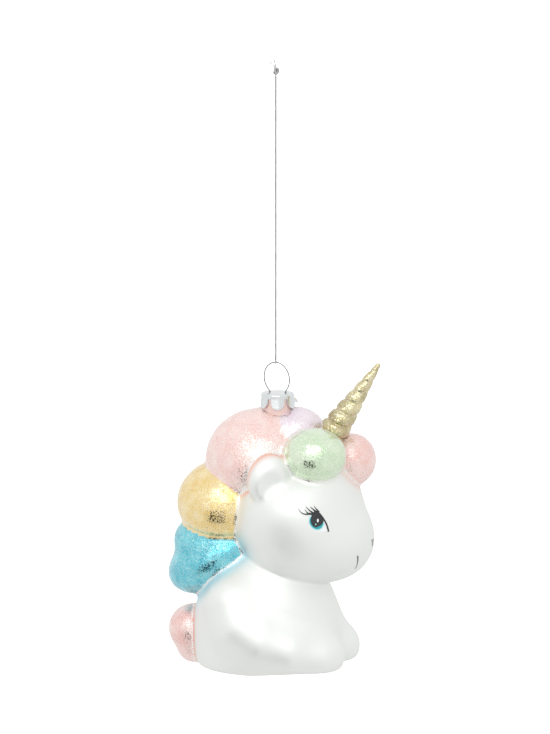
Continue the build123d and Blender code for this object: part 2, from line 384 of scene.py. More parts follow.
@dataclass(frozen=True)
class BrushPaintFinish(Finish):
    """Thin glossy paint put on with a brush."""

    colour: Colour
    roughness: float = 0.35
    streak_size: float = 0.5

    def coat(self, sheet: NodeSheet) -> None:
        """Joins the streaks of the brush.

        Args:
            sheet: the nodes of the material.
        """
        streak = sheet.spread(sheet.noise(self.streak_size, 3.0), (0.35, 0.0), (0.7, 0.5))
        thin = tuple(0.75 * share + 0.012 for share in self.colour)
        rough = sheet.spread(streak, (0.0, self.roughness), (0.5, self.roughness + 0.1))
        sheet.shade(Base_Color=sheet.blend(streak, self.colour, thin), Roughness=rough, Coat_Weight=0.3,
                    Coat_Roughness=0.2)


@dataclass(frozen=True)
class ThreadFinish(Finish):
    """Silver metallic thread with a glint on each filament."""

    colour: Colour = paint(214, 214, 214)
    dark: Colour = paint(120, 120, 122)
    glint_size: float = 0.35

    def coat(self, sheet: NodeSheet) -> None:
        """Joins light and dark filaments that lean different ways.

        Args:
            sheet: the nodes of the material.
        """
        grains = sheet.grains(self.glint_size)
        shade, lean, _ = sheet.chances(grains)
        colour = sheet.blend(sheet.spread(shade, (0.3, 0.0), (1.0, 0.8)), self.colour, self.dark)
        normal = sheet.tilt(grains, sheet.spread(lean, (0.0, 0.2), (1.0, 0.8)))
        sheet.shade(Base_Color=colour, Normal=normal, Metallic=0.75, Roughness=0.38)


# Mesh making

def make_piece(name: str, points: Rows, faces: Iterable[Sequence[int]], material: Material) -> Piece:
    """Makes a smooth mesh object from points in millimetres.

    Args:
        name: the object's name.
        points: one row for each vertex.
        faces: vertex numbers of each face.
        material: the finish.

    Returns:
        The linked object.
    """
    mesh = bpy.data.meshes.new(name)
    mesh.from_pydata((np.asarray(points, dtype=float) * MM).tolist(), [], [list(map(int, f)) for f in faces])
    mesh.polygons.foreach_set("use_smooth", [True] * len(mesh.polygons))
    mesh.materials.append(material)
    mesh.update()
    piece = bpy.data.objects.new(name, mesh)
    bpy.context.collection.objects.link(piece)
    return piece


def grid_faces(rows: int, columns: int, closed: bool = True) -> Faces:
    """Lists the faces of a grid of points whose columns may close on themselves.

    Args:
        rows: how many rows there are.
        columns: how many points a row has.
        closed: whether the last column meets the first.

    Returns:
        Four vertex numbers for each face.
    """
    faces = []
    for row in range(rows - 1):
        for column in range(columns if closed else columns - 1):
            beside = (column + 1) % columns
            low = row * columns
            high = low + columns
            faces.append((low + column, low + beside, high + beside, high + column))
    return faces


def unit(rows: Rows) -> Rows:
    """Gives every row the length 1."""
    return rows / np.maximum(np.linalg.norm(rows, axis=1), TINY)[:, None]


def rings(centres: Rows, radius: Callable[[float], Rows | float], across: Rows, beside: Rows,
          sides: int) -> Rows:
    """Sets a ring of points round each centre.

    Args:
        centres: the middle of each ring.
        radius: gives the radius of every ring at an angle.
        across: the way that angle 0 points.
        beside: the way that a quarter turn points.
        sides: points in a ring.

    Returns:
        The points, ring after ring.
    """
    columns = []
    for angle in FULL_TURN * np.arange(sides) / sides:
        way = math.cos(angle) * across + math.sin(angle) * beside
        columns.append(centres + np.reshape(radius(angle), (-1, 1)) * way)
    return np.stack(columns, axis=1).reshape(-1, 3)


def along(line: Rows) -> Rows:
    """Gives how far along a line each of its points lies."""
    return np.concatenate(([0.0], np.cumsum(np.linalg.norm(np.diff(line, axis=0), axis=1))))


def merged(meshes: Iterable[tuple[Rows, Faces]]) -> tuple[Rows, Faces]:
    """Joins several meshes into one.

    Args:
        meshes: the points and faces of each.

    Returns:
        The points and faces of all.
    """
    points = []
    faces = []
    for spots, sides in meshes:
        first = sum(map(len, points))
        faces += [tuple(first + n for n in face) for face in sides]
        points.append(spots)
    return np.concatenate(points), faces


def store_airbrush(piece: Piece, colours: Rows) -> None:
    """Keeps the airbrushed colour of each point on a piece."""
    layer = piece.data.color_attributes.new("airbrush", "FLOAT_COLOR", "POINT")
    layer.data.foreach_set("color", np.column_stack((colours, np.ones(len(colours)))).ravel())


def store_cover(piece: Piece, shares: Rows) -> None:
    """Keeps how fully glitter covers each point of a piece."""
    layer = piece.data.attributes.new("cover", "FLOAT", "POINT")
    layer.data.foreach_set("value", shares.astype(np.float32))


# Forms of the blown glass

def smooth_least(first: Rows, second: Rows, width: float) -> Rows:
    """Joins two distance fields with a crease that is rounded over a width."""
    near = np.maximum(width - np.abs(first - second), 0.0) / width
    return np.minimum(first, second) - near * near * width * 0.25


@dataclass(frozen=True)
class Swelling:
    """An egg-shaped swelling, turned about the crosswise and then the upright axis."""

    centre: Vec3
    half: Vec3
    pitch: float = 0.0
    yaw: float = 0.0
    blend: float = 4.0

    def inside(self, points: Rows) -> Rows:
        """Gives points in the swelling's own axes."""
        turn = Euler((0.0, math.radians(self.pitch), math.radians(self.yaw))).to_matrix()
        return (points - np.array(self.centre)) @ np.array(turn)

    def mirrored(self) -> "Swelling":
        """Gives the same swelling on the other side of the animal."""
        x, y, z = self.centre
        return replace(self, centre=(x, -y, z), yaw=-self.yaw)

    def distance(self, points: Rows) -> Rows:
        """Measures how far points lie outside the swelling.

        Args:
            points: one row for each point.

        Returns:
            Distances, below zero inside.
        """
        half = np.array(self.half)
        local = self.inside(points)
        reach = np.linalg.norm(local / half, axis=1)
        slope = np.linalg.norm(local / (half * half), axis=1)
        return reach * (reach - 1.0) / np.maximum(slope, TINY)


@dataclass(frozen=True)
class Limb:
    """A tapering limb with round ends."""

    start: Vec3
    end: Vec3
    start_radius: float
    end_radius: float
    blend: float = 5.0

    def mirrored(self) -> "Limb":
        """Gives the same limb on the other side of the animal."""
        start, end = ((x, -y, z) for x, y, z in (self.start, self.end))
        return replace(self, start=start, end=end)

    def distance(self, points: Rows) -> Rows:
        """Measures how far points lie outside the limb.

        Args:
            points: one row for each point.

        Returns:
            Distances, below zero inside.
        """
        start = np.array(self.start)
        along = np.array(self.end) - start
        share = np.clip((points - start) @ along / (along @ along), 0.0, 1.0)
        gap = np.linalg.norm(points - start - share[:, None] * along, axis=1)
        return gap - self.start_radius - (self.end_radius - self.start_radius) * share


def joined(forms: Sequence[Swelling | Limb], points: Rows) -> Rows:
    """Measures how far points lie outside several forms, each blended into those before it.

    Args:
        forms: the forms.
        points: one row for each point.

    Returns:
        Distances, below zero inside.
    """
    total = forms[0].distance(points)
    for form in forms[1:]:
        total = smooth_least(total, form.distance(points), form.blend)
    return total


@dataclass(frozen=True)
class Curl:
    """One glitter-coated swelling of the mane or tail and the layer of the part that it stands for."""

    node: str
    forms: tuple[Swelling, ...]
    finish: GlitterFinish
    rimmed: bool = False
    fade: float = 1.3


@dataclass(frozen=True)
class Overspray:
    """Colour that drifted from a curl onto the pearl paint beside it."""

    node: str
    colour: Colour
    width: float
    strength: float


@dataclass
class GlassFigure:
    """The blown glass animal: one surface, parted into pearl paint and glitter coats."""

    curls: list[Curl]
    sprays: list[Overspray]
    cell: float = 0.7
    grid_low: Vec3 = (-44.0, -28.0, -4.0)
    grid_size: Vec3 = (86.0, 56.0, 102.0)
    grid_batches: int = 8
    settle_rounds: int = 3
    settle_step: float = 0.3
    least_slope: float = 0.2
    crease: float = 2.0
    chin_crease: float = 1.6
    bare_line: float = 0.2
    floor_round: float = 2.0
    floor_start: float = -4.0
    floor_rise: float = 0.055
    bore_radius: float = 4.9
    bore_foot: float = 80.0
    body: Swelling = Swelling((-5.0, 0.0, 12.0), (25.0, 22.6, 34.5))
    chest: Swelling = Swelling((4.0, 0.0, 19.0), (15.5, 16.5, 23.0), blend=6.0)
    head: Swelling = Swelling((9.5, 0.0, 51.9), (25.0, 22.0, 21.0), pitch=14.0)
    muzzle: Swelling = Swelling((22.7, 0.0, 46.6), (12.7, 14.0, 12.4), blend=5.0)
    brow: Swelling = Swelling((19.0, 0.0, 66.0), (10.0, 13.0, 13.0), blend=6.0)
    skull: Swelling = Swelling((8.5, 0.0, 60.0), (18.5, 20.8, 14.5), blend=8.0)
    horn_stub: Limb = Limb((14.0, 0.0, 75.1), (20.9, 0.0, 85.4), 3.6, 3.6, blend=1.0)
    ear: Swelling = Swelling((3.0, -16.8, 71.0), (7.6, 4.6, 9.0), pitch=22.0, yaw=26.0)
    ear_hollow: Swelling = Swelling((6.0, -22.4, 68.6), (4.4, 3.2, 6.0), pitch=22.0, yaw=26.0)
    leg_joints: tuple[tuple[Vec3, float], ...] = (
        ((-11.0, -14.6, 25.0), 9.4), ((-7.5, -16.2, 17.0), 8.8), ((0.6, -16.6, 12.0), 8.2),
        ((10.0, -14.6, 9.0), 7.5), ((19.4, -10.4, 7.2), 6.4))
    leg_blend: float = 5.0
    hoof: Swelling = Swelling((18.4, -9.3, 6.0), (8.4, 7.0, 6.4))
    forearm: Limb = Limb((3.2, -3.2, 31.0), (20.0, -8.8, 8.0), 7.6, 6.6, blend=8.0)
    arm_blend: float = 9.0
    pearl: Colour = paint(240, 242, 239)
    rim_start: float = 0.8
    rim_reach: float = 1.15
    rim_strength: float = 0.85
    rim_colour: Colour = paint(250, 190, 168)

    def leg(self) -> list[Limb]:
        """Gives the right foreleg, which sweeps from the flank down to the hoof."""
        pairs = zip(self.leg_joints, self.leg_joints[1:])
        return [Limb(start, end, wide, narrow) for (start, wide), (end, narrow) in pairs]

    def body_distance(self, points: Rows) -> Rows:
        """Measures how far points lie outside the body, legs and base.

        Args:
            points: one row for each point.

        Returns:
            Distances, below zero inside.
        """
        arms = joined((self.forearm, self.forearm.mirrored()), points)
        total = smooth_least(joined((self.body, self.chest), points), arms, self.arm_blend)
        for limb in (self.leg(), [self.hoof]):
            for forms in (limb, [form.mirrored() for form in limb]):
                total = smooth_least(total, joined(forms, points), self.leg_blend)
        floor = np.maximum(points[:, 0] - self.floor_start, 0.0) * self.floor_rise - points[:, 2]
        return -smooth_least(-total, -floor, self.floor_round)

    def pearl_distance(self, points: Rows) -> Rows:
        """Measures how far points lie outside everything that has pearl paint.

        Args:
            points: one row for each point.

        Returns:
            Distances, below zero inside.
        """
        head = joined((self.head, self.muzzle, self.brow, self.skull, self.horn_stub), points)
        total = smooth_least(head, self.body_distance(points), self.chin_crease)
        for ear, hollow in ((self.ear, self.ear_hollow), (self.ear.mirrored(), self.ear_hollow.mirrored())):
            cupped = -smooth_least(-ear.distance(points), hollow.distance(points), self.crease)
            total = smooth_least(total, cupped, self.crease)
        return total

    def distances(self, points: Rows) -> Rows:
        """Measures how far points lie outside the pearl paint, in the first row, and each curl."""
        return np.stack([self.pearl_distance(points)] + [joined(curl.forms, points) for curl in self.curls])

    def whole(self, points: Rows) -> Rows:
        """Measures how far points lie outside the whole glass, with the neck's bore cut out of it.

        Args:
            points: one row for each point.

        Returns:
            Distances, below zero inside.
        """
        rows = self.distances(points)
        total = rows[0]
        for row in rows[1:]:
            total = smooth_least(total, row, self.crease)
        across = np.hypot(points[:, 0] - NECK_X, points[:, 1])
        bore = np.maximum(across - self.bore_radius, self.bore_foot - points[:, 2])
        return np.maximum(total, -bore)

    def slope(self, points: Rows, step: float = 0.05) -> Rows:
        """Measures how steeply the distance grows at points, one direction for each."""
        pairs = [(self.whole(points + axis), self.whole(points - axis)) for axis in np.eye(3) * step]
        return np.stack([(high - low) / (2 * step) for high, low in pairs], axis=1)

    def surface(self) -> tuple[Rows, Rows, Rows]:
        """Finds the glass surface on a grid and draws its points onto the exact form.

        Returns:
            Points, faces of four and outward normals.
        """
        low = np.array(self.grid_low)
        count = np.ceil(np.array(self.grid_size) / self.cell).astype(int)
        axes = [low[k] + self.cell * np.arange(count[k]) for k in range(3)]
        spots = np.stack(np.meshgrid(*axes, indexing="ij"), axis=-1).reshape(-1, 3)
        values = np.concatenate([self.whole(batch) for batch in np.array_split(spots, self.grid_batches)])
        grid = openvdb.FloatGrid(background=float(values.max()))
        grid.copyFromArray(values.reshape(count).astype(np.float32))
        points, faces = grid.convertToQuads(isovalue=0.0)
        points = low + points.astype(float) * self.cell
        for _ in range(self.settle_rounds):
            slope = self.slope(points)
            size = np.maximum(np.einsum("ij,ij->i", slope, slope), self.least_slope)
            step = np.clip(self.whole(points) / size, -self.settle_step, self.settle_step)
            points = points - step[:, None] * slope
        return points, faces, unit(self.slope(points))

    def airbrush(self, points: Rows, rows: Rows) -> Rows:
        """Works out the pearl paint's colour with the overspray beside each curl and on the ears' rims.

        Args:
            points: the surface points.
            rows: the distances of each part at those points.

        Returns:
            A colour for each point.
        """
        names = [curl.node for curl in self.curls]
        colours = np.tile(self.pearl, (len(points), 1))
        for spray in self.sprays:
            gap = np.maximum(rows[1 + names.index(spray.node)] - rows[0], 0.0)
            share = spray.strength * np.exp(-((gap / spray.width) ** 2))
            colours = colours + share[:, None] * (np.array(spray.colour) - colours)
        for ear in (self.ear, self.ear.mirrored()):
            local = ear.inside(points) / np.array(ear.half)
            out = np.hypot(local[:, 0], local[:, 2])
            rim = np.clip((out - self.rim_start) / (1.0 - self.rim_start), 0.0, 1.0)
            near = np.abs(local).max(axis=1) < self.rim_reach
            behind = np.clip(local[:, 2] - local[:, 0], 0.0, 1.0)
            share = self.rim_strength * rim ** 2 * behind * near
            colours = colours + share[:, None] * (np.array(self.rim_colour) - colours)
        return colours

    def cover(self, rows: Rows, number: int) -> Rows:
        """Works out how fully the glitter covers a curl, which is bare along its edge.

        Args:
            rows: the distances of each part at the piece's points.
            number: which part the piece is.

        Returns:
            A share from 0 to 1 for each point.
        """
        if number == 0:
            return np.zeros(rows.shape[1])
        curl = self.curls[number - 1]
        beside = np.delete(rows, number, axis=0).min(axis=0) if curl.rimmed else rows[0]
        gap = beside - rows[number]
        return np.clip((gap - self.bare_line) / (curl.fade - self.bare_line), 0.0, 1.0)

    def build(self, pearl: Material) -> dict[str, Piece]:
        """Makes the pearl piece and one piece for each curl.

        Args:
            pearl: the pearl paint.

        Returns:
            The pieces by the name of the part that each stands for.
        """
        points, faces, normals = self.surface()
        rows = self.distances(points)
        parts = np.argmin(self.distances(points[faces].mean(axis=1)), axis=0)
        colours = self.airbrush(points, rows)
        lifted = points + np.array((0.0, 0.0, BASE_HEIGHT))
        pieces = {}
        for number, name in enumerate(["glass_figure"] + [curl.node for curl in self.curls]):
            used, numbers = np.unique(faces[parts == number], return_inverse=True)
            finish = pearl if number == 0 else self.curls[number - 1].finish.make()
            piece = make_piece(name + "_skin", lifted[used], numbers.reshape(-1, 4), finish)
            piece.data.normals_split_custom_set_from_vertices(normals[used].tolist())
            store_airbrush(piece, colours[used])
            store_cover(piece, self.cover(rows[:, used], number))
            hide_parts(name)
            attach(piece, "figure")
            pieces[name] = piece
        return pieces


@dataclass
class GlassNeck:
    """The short open tube of glass that the cap sits on."""

    outer_radius: float = 5.48
    inner_radius: float = 4.38
    foot: float = 82.0
    rim: float = 98.64
    rim_round: float = 0.4
    sides: int = 64
    sharp_angle: float = 40.0
    tint: Colour = paint(248, 218, 212)

    def build(self, finish: Material) -> Piece:
        """Makes the neck.

        Args:
            finish: the neck's finish.

        Returns:
            The neck, riding on the figure.
        """
        edge = self.rim - self.rim_round
        radii = np.array((self.outer_radius, self.outer_radius, self.outer_radius - self.rim_round,
                          self.inner_radius + self.rim_round / 2, self.inner_radius, self.inner_radius))
        heights = (self.foot, edge, self.rim, self.rim, edge, self.foot)
        centres = np.array([(NECK_X, 0.0, height + BASE_HEIGHT) for height in heights])
        points = rings(centres, lambda angle: radii, FORWARD, LEFT, self.sides)
        piece = make_piece("glass_neck", points, grid_faces(len(centres), self.sides), finish)
        piece.data.set_sharp_from_angle(angle=math.radians(self.sharp_angle))
        store_airbrush(piece, np.tile(self.tint, (len(points), 1)))
        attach(piece, "figure")
        return piece


# Thread and knot

@dataclass
class HangingThread:
    """Two-ply metallic thread: down from the knot, under the wire and back."""

    diameter: float = 0.5
    strand_offset: float = 0.54
    drop: float = 101.4
    straight_end: float = 3.0
    smoothness: int = 40
    lay: float = 1.45
    rings_per_lay: int = 10
    sides: int = 6
    plies: int = 2
    length: float = 204.5

    def route(self) -> list[Vec3]:
        """Gives the thread's control points, from the knot to the wire and back.

        Returns:
            Six points.
        """
        y = self.strand_offset
        low = -self.drop - self.strand_offset
        near = -self.drop + self.straight_end
        return [(0, -y, 0), (0, -y, near), (0, -y, low), (0, y, low), (0, y, near), (0, y, 0)]

    def line(self) -> Rows:
        """Reads the smooth line that the route's control points give.

        Returns:
            Points along the thread in millimetres.
        """
        data = bpy.data.curves.new("thread_route", "CURVE")
        data.dimensions = "3D"
        data.resolution_u = self.smoothness
        spline = data.splines.new("NURBS")
        route = self.route()
        spline.points.add(len(route) - 1)
        for point, place in zip(spline.points, route):
            point.co = (*place, 1.0)
        spline.order_u = 3
        spline.use_endpoint_u = True
        carrier = bpy.data.objects.new("thread_route", data)
        mesh = bpy.data.meshes.new_from_object(carrier)
        line = np.array([v.co[:] for v in mesh.vertices])
        bpy.data.objects.remove(carrier)
        bpy.data.meshes.remove(mesh)
        return line

    def build(self, finish: Material, knot: Piece) -> Piece:
        """Makes the two twisted plies along the line.

        Args:
            finish: the thread's finish.
            knot: the knot that ends the thread; not used.

        Returns:
            The thread, riding on the cord.
        """
        line = self.line()
        reach = along(line)
        count = int(reach[-1] / self.lay * self.rings_per_lay)
        marks = np.linspace(0.0, reach[-1], count)
        centre = np.column_stack([np.interp(marks, reach, line[:, k]) for k in range(3)])
        beside = np.cross(unit(np.gradient(centre, axis=0)), FORWARD)
        ply = self.diameter / 4
        plies = []
        for strand in range(self.plies):
            turn = FULL_TURN * marks / self.lay + FULL_TURN * strand / self.plies
            middle = centre + ply * (np.cos(turn)[:, None] * FORWARD + np.sin(turn)[:, None] * beside)
            points = rings(middle, lambda angle: ply, FORWARD, beside, self.sides)
            plies.append((points, grid_faces(count, self.sides)))
        piece = make_piece("silver_thread", *merged(plies), finish)
        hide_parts("hanging_cord")
        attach(piece, "cord")
        return piece


@dataclass
class ThreadKnot:
    """A small overhand knot in the doubled thread, with two cut ends."""

    thread_radius: float = 0.3
    tail_share: float = 0.72
    ply_length: float = 1.4
    ply_depth: float = 0.16
    ring_radius: float = 0.62
    ring_shift: float = 0.15
    swing: float = 0.3
    wave_share: float = 0.8
    height: float = 3.0
    foot: float = 0.25
    core_x: float = 0.1
    tail_root: float = 0.6
    tail_bend_x: float = 0.25
    tail_bend_z: float = 0.75
    tail_ends: tuple[Vec3, ...] = ((-1.0, 0.2, 5.9), (-2.1, -0.3, 4.9))
    strand_root: float = 0.5
    strand_gap: float = 0.2
    strand_end: Vec3 = (0.0, 0.5, 0.02)
    off_axis: Vec3 = (0.31, 0.87, 0.38)
    steps: int = 150
    tail_steps: int = 24
    sides: int = 8

    def tube(self, line: Rows, radius: float) -> tuple[Rows, Faces]:
        """Lays a closed tube with a rope-like surface along a line.

        Args:
            line: points along the middle.
            radius: the tube's radius.

        Returns:
            Points and faces.
        """
        ahead = unit(np.gradient(line, axis=0))
        across = unit(np.cross(ahead, self.off_axis))
        twist = FULL_TURN * along(line) / self.ply_length
        points = rings(line, lambda angle: radius * (1.0 + self.ply_depth * np.cos(2 * angle - twist)),
                       across, np.cross(ahead, across), self.sides)
        ends = [tuple(range(self.sides - 1, -1, -1)), tuple(range(len(points) - self.sides, len(points)))]
        return points, grid_faces(len(line), self.sides) + ends

    def lines(self) -> list[Rows]:
        """Draws the middle lines of the knot.

        Returns:
            The knotted loop, the two cut tails and the two strands that leave it below.
        """
        turn = np.linspace(0.0, FULL_TURN, self.steps)
        reach = self.ring_radius + self.swing * np.cos(3 * turn)
        wave = (self.height / 2 - self.thread_radius) * self.wave_share * np.sin(3 * turn)
        lift = self.foot + self.height / 2 + wave
        loop = (reach * np.cos(2 * turn) + self.ring_shift, reach * np.sin(2 * turn), lift)
        lines = [np.column_stack(loop)]
        share = np.linspace(0.0, 1.0, self.tail_steps)[:, None]
        for end in self.tail_ends:
            start = np.array((self.core_x, end[1], self.foot + self.height * self.tail_root))
            rise = (end[2] - start[2]) * self.tail_bend_z
            bend = np.array((end[0] * self.tail_bend_x, end[1], start[2] + rise))
            first = start + (bend - start) * share
            second = bend + (np.array(end) - bend) * share
            lines.append(first + (second - first) * share)
        for side in (-1, 1):
            top = np.array((self.core_x, self.strand_gap * side, self.foot + self.height * self.strand_root))
            low = np.array(self.strand_end) * (1, side, 1)
            lines.append(top + (low - top) * share)
        return lines

    def build(self, finish: Material) -> Piece:
        """Makes the knot.

        Args:
            finish: the thread's finish.

        Returns:
            The knot, which stays where the ornament hangs.
        """
        loop, *tails = self.lines()
        tubes = [self.tube(loop, self.thread_radius)]
        tubes += [self.tube(tail, self.thread_radius * self.tail_share) for tail in tails]
        piece = make_piece("thread_knot", *merged(tubes), finish)
        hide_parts("cord_knot")
        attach(piece, "knot")
        return piece


# Horn

@dataclass
class Horn:
    """A twisted cone of gold glitter on a smooth collar."""

    base: Vec3 = (21.8, 0.0, 86.7)
    tilt: float = 34.0
    length: float = 29.5
    base_radius: float = 5.2
    tip_radius: float = 0.75
    taper: float = 1.1
    turns: float = 6.4
    groove_depth: float = 0.11
    groove_width: float = 0.13
    bulge: float = 0.05
    dome_share: float = 0.025
    foot_share: float = 0.012
    foot_narrow: float = 0.15
    collar_radius: float = 4.25
    collar_height: float = 1.7
    collar_round: float = 0.5
    collar_rows: int = 25
    rows: int = 260
    sides: int = 56

    def radius(self, share: Rows, turn: float) -> Rows:
        """Gives the twisted cone's radius.

        Args:
            share: how far up the horn, from 0 to 1.
            turn: the angle round the horn.

        Returns:
            The radius at each height.
        """
        plain = self.base_radius + (self.tip_radius - self.base_radius) * share ** self.taper
        phase = np.mod(turn / FULL_TURN - self.turns * share, 1.0)
        groove = self.groove_depth * np.exp(-((np.minimum(phase, 1.0 - phase) / self.groove_width) ** 2))
        past = ((share - 1.0 + self.dome_share) / self.dome_share).clip(0.0)
        dome = np.sqrt(np.clip(1.0 - past ** 2, 0.0, 1.0))
        foot = 1.0 - self.foot_narrow * (1.0 - np.clip(share / self.foot_share, 0.0, 1.0) ** 0.5)
        return plain * (1.0 - groove + self.bulge * np.sin(np.pi * phase)) * dome * foot

    def build(self, gold: Material, collar_gold: Material) -> list[Piece]:
        """Makes the cone and its collar.

        Args:
            gold: the glitter.
            collar_gold: the collar's finish.

        Returns:
            The cone and the collar, riding on the figure.
        """
        lean = math.radians(self.tilt)
        ahead = np.array((math.sin(lean), 0.0, math.cos(lean)))
        aside = np.array((math.cos(lean), 0.0, -math.sin(lean)))
        foot = np.array(self.base) + np.array((0.0, 0.0, BASE_HEIGHT))
        share = np.linspace(0.0, 1.0, self.rows)
        centres = foot + (share * self.length)[:, None] * ahead
        points = rings(centres, lambda turn: self.radius(share, turn), aside, LEFT, self.sides)
        faces = grid_faces(self.rows, self.sides) + [tuple(range(self.sides - 1, -1, -1))]
        cone = make_piece("horn_cone", points, faces, gold)
        store_cover(cone, np.ones(len(points)))
        angles = math.pi * np.arange(self.collar_rows) / (self.collar_rows - 1) - math.pi / 2
        radii = self.collar_radius - self.collar_round + self.collar_round * np.cos(angles)
        centres = foot + (self.collar_height * (np.sin(angles) - 1) / 2)[:, None] * ahead
        spots = rings(centres, lambda turn: radii, aside, LEFT, self.sides)
        collar = make_piece("horn_collar", spots, grid_faces(self.collar_rows, self.sides), collar_gold)
        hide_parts("horn")
        for piece in (cone, collar):
            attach(piece, "figure")
        return [cone, collar]


# Painted face

class Stroke(Enum):
    """The relative widths of a brushed line at its start and its end."""

    EVEN = (1.0, 1.0)
    TAPER_IN = (0.15, 1.0)
    TAPER_OUT = (1.0, 0.2)

    def width(self, shares: Rows) -> Rows:
        """Gives the line's relative width at shares of its length."""
        start, end = self.value
        return start + (end - start) * shares


@dataclass(frozen=True)
class Mark:
    """One painted mark: a filled shape, or a brushed line where it has a width in pixels."""

    name: str
    pixels: Sequence[Pixel]
    layer: int
    finish: BrushPaintFinish
    width: float = 0.0
    shape: Stroke = Stroke.EVEN


@dataclass
class FacePaint:
    """Eyes, lashes, nostrils and mouth, brushed on both sides of the head."""

    view: Viewpoint
    glass: BVHTree
    lift: float = 0.05
    fill_step: float = 0.6
    span_points: int = 8
    across: tuple[float, ...] = (-1.0, -0.4, 0.4, 1.0)

    def on_glass(self, pixels: Rows, layer: int) -> Rows:
        """Drops picture points onto the glass.

        Args:
            pixels: one row for each point of the picture.
            layer: how many coats of paint lie under these points.

        Returns:
            Points just above the glass, in millimetres.
        """
        eye = Vector(self.view.eye() * MM)
        places = []
        for pixel in pixels:
            spot, normal, _, _ = self.glass.ray_cast(eye, Vector(self.view.ray(tuple(pixel))))
            places.append(np.array(spot) / MM + np.array(normal) * self.lift * (1 + layer))
        return np.array(places)

    def curve(self, pixels: Sequence[Pixel], closed: bool) -> Rows:
        """Draws a smooth line through picture points.

        Args:
            pixels: the points to pass through.
            closed: whether the line comes back to its start.

        Returns:
            Points along the line.
        """
        dots = np.array(pixels, dtype=float)
        before, after = (dots[-1:], dots[:2]) if closed else (dots[:1], dots[-1:])
        chain = np.concatenate((before, dots, after))
        line = []
        for a, b, c, d in zip(chain, chain[1:], chain[2:], chain[3:]):
            for t in np.linspace(0.0, 1.0, self.span_points, endpoint=False):
                line.append(0.5 * (2 * b + (c - a) * t + (2 * a - 5 * b + 4 * c - d) * t * t
                                   + (3 * b - a - 3 * c + d) * t ** 3))
        if not closed:
            line.append(dots[-1])
        return np.array(line)

    def patch(self, mark: Mark) -> tuple[Rows, Faces]:
        """Fills a shape.

        Args:
            mark: the shape, whose pixels lie on its outline.

        Returns:
            Points and faces.
        """
        rim = self.curve(mark.pixels, True)
        low = rim.min(axis=0)
        high = rim.max(axis=0)
        spots = [Vector(p) for p in rim]
        for x in np.arange(low[0], high[0], self.fill_step):
            for y in np.arange(low[1], high[1], self.fill_step):
                spots.append(Vector((x, y)))
        edges = [(k, (k + 1) % len(rim)) for k in range(len(rim))]
        flat, _, faces, _, _, _ = delaunay_2d_cdt(spots, edges, [list(range(len(rim)))], 1, 1e-4)
        used = sorted({n for face in faces for n in face})
        number = {n: k for k, n in enumerate(used)}
        points = self.on_glass(np.array([flat[n] for n in used]), mark.layer)
        return points, [tuple(number[n] for n in face)[::-1] for face in faces]

    def stroke(self, mark: Mark) -> tuple[Rows, Faces]:
        """Brushes a line.

        Args:
            mark: the line, whose pixels lie along its middle.

        Returns:
            Points and faces.
        """
        line = self.curve(mark.pixels, False)
        ahead = unit(np.gradient(line, axis=0))
        aside = np.column_stack((-ahead[:, 1], ahead[:, 0]))
        half = mark.shape.width(np.linspace(0.0, 1.0, len(line)))[:, None] * mark.width / 2
        rows = [self.on_glass(line + aside * half * place, mark.layer) for place in self.across]
        return np.stack(rows, axis=1).reshape(-1, 3), grid_faces(len(line), len(rows), closed=False)

    def build(self, marks: Sequence[Mark]) -> list[Piece]:
        """Paints each mark on the near side and its mirror image on the far side.

        Args:
            marks: the marks of the near side.

        Returns:
            Every mark, riding on the figure.
        """
        finishes = {mark.finish.name: mark.finish for mark in marks}
        paints = {name: finish.make() for name, finish in finishes.items()}
        pieces = []
        for mark in marks:
            points, faces = self.stroke(mark) if mark.width else self.patch(mark)
            finish = paints[mark.finish.name]
            mirrored = points * np.array((1.0, -1.0, 1.0))
            pieces.append(make_piece(mark.name + "_right", points, faces, finish))
            pieces.append(make_piece(mark.name + "_left", mirrored, [face[::-1] for face in faces], finish))
        for piece in pieces:
            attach(piece, "figure")
        return pieces


# Outlines of the painted face, in picture points
EYE_GROUND = ((312, 514.6), (308.8, 518), (308.2, 522), (309.6, 526.5), (313, 530.3), (318, 532),
              (324, 531.8), (327.6, 530.8), (326.4, 526), (324.4, 521.5), (321.5, 516.5), (317, 512.6))
EYE_RIM = ((311.6, 515.5), (309.2, 518.5), (308.8, 522.2), (310.4, 526.3), (313.6, 529.2), (317.6, 530.4),
           (321.6, 528.8), (323.8, 525), (323.2, 520), (320, 515), (316, 512.8))
EYE_IRIS = ((312, 515.5), (310.1, 518.5), (309.7, 522), (311.1, 525.6), (314, 528.2), (317.6, 529.1),
            (320.8, 527.8), (322.8, 524.6), (323, 520.5), (320, 515), (316, 512.8))
EYE_PUPIL = ((312.6, 514.6), (311, 517.6), (310.6, 520.8), (311.4, 523.8), (313.2, 526.2), (316, 527.3),
             (318.6, 526.2), (321, 525), (322.8, 522.4), (323.4, 519.2), (320.6, 514.6), (316.4, 511.4))
# The two glints are painted highlights: white and pale blue spots of paint on the pupil
EYE_GLINT = ((317.5, 518.7), (316.8, 520.2), (317, 521.8), (317.8, 522.3), (318.5, 521), (318.4, 519.4))
EYE_SMALL_GLINT = ((315.4, 523.6), (314.9, 524.3), (315.3, 525), (316.1, 524.7), (316.1, 523.9))
EYE_LID = ((312.4, 514.8), (315.4, 511.6), (318, 512.3), (320, 514.4), (322.2, 517.2), (324, 520),
           (325.6, 522.8), (326.9, 526), (327.8, 529), (328.4, 531.6))
LASHES = (
    ((298.4, 509), (300.4, 511.8), (302.8, 513.6), (305.6, 514.3), (308.6, 514), (312.4, 514.4)),
    ((304.6, 509.6), (306.2, 511.6), (307.8, 513.2), (310, 513.7), (312.8, 514.2)),
    ((305.6, 506.4), (307.7, 508.8), (309.6, 510.6), (311.6, 512.1), (313.6, 513.6)),
    ((310.2, 507), (312, 508.5), (313.8, 510.1), (315.6, 511.9)),
    ((314.2, 506.2), (315.4, 508.2), (317, 510), (318.8, 512.2)),
)
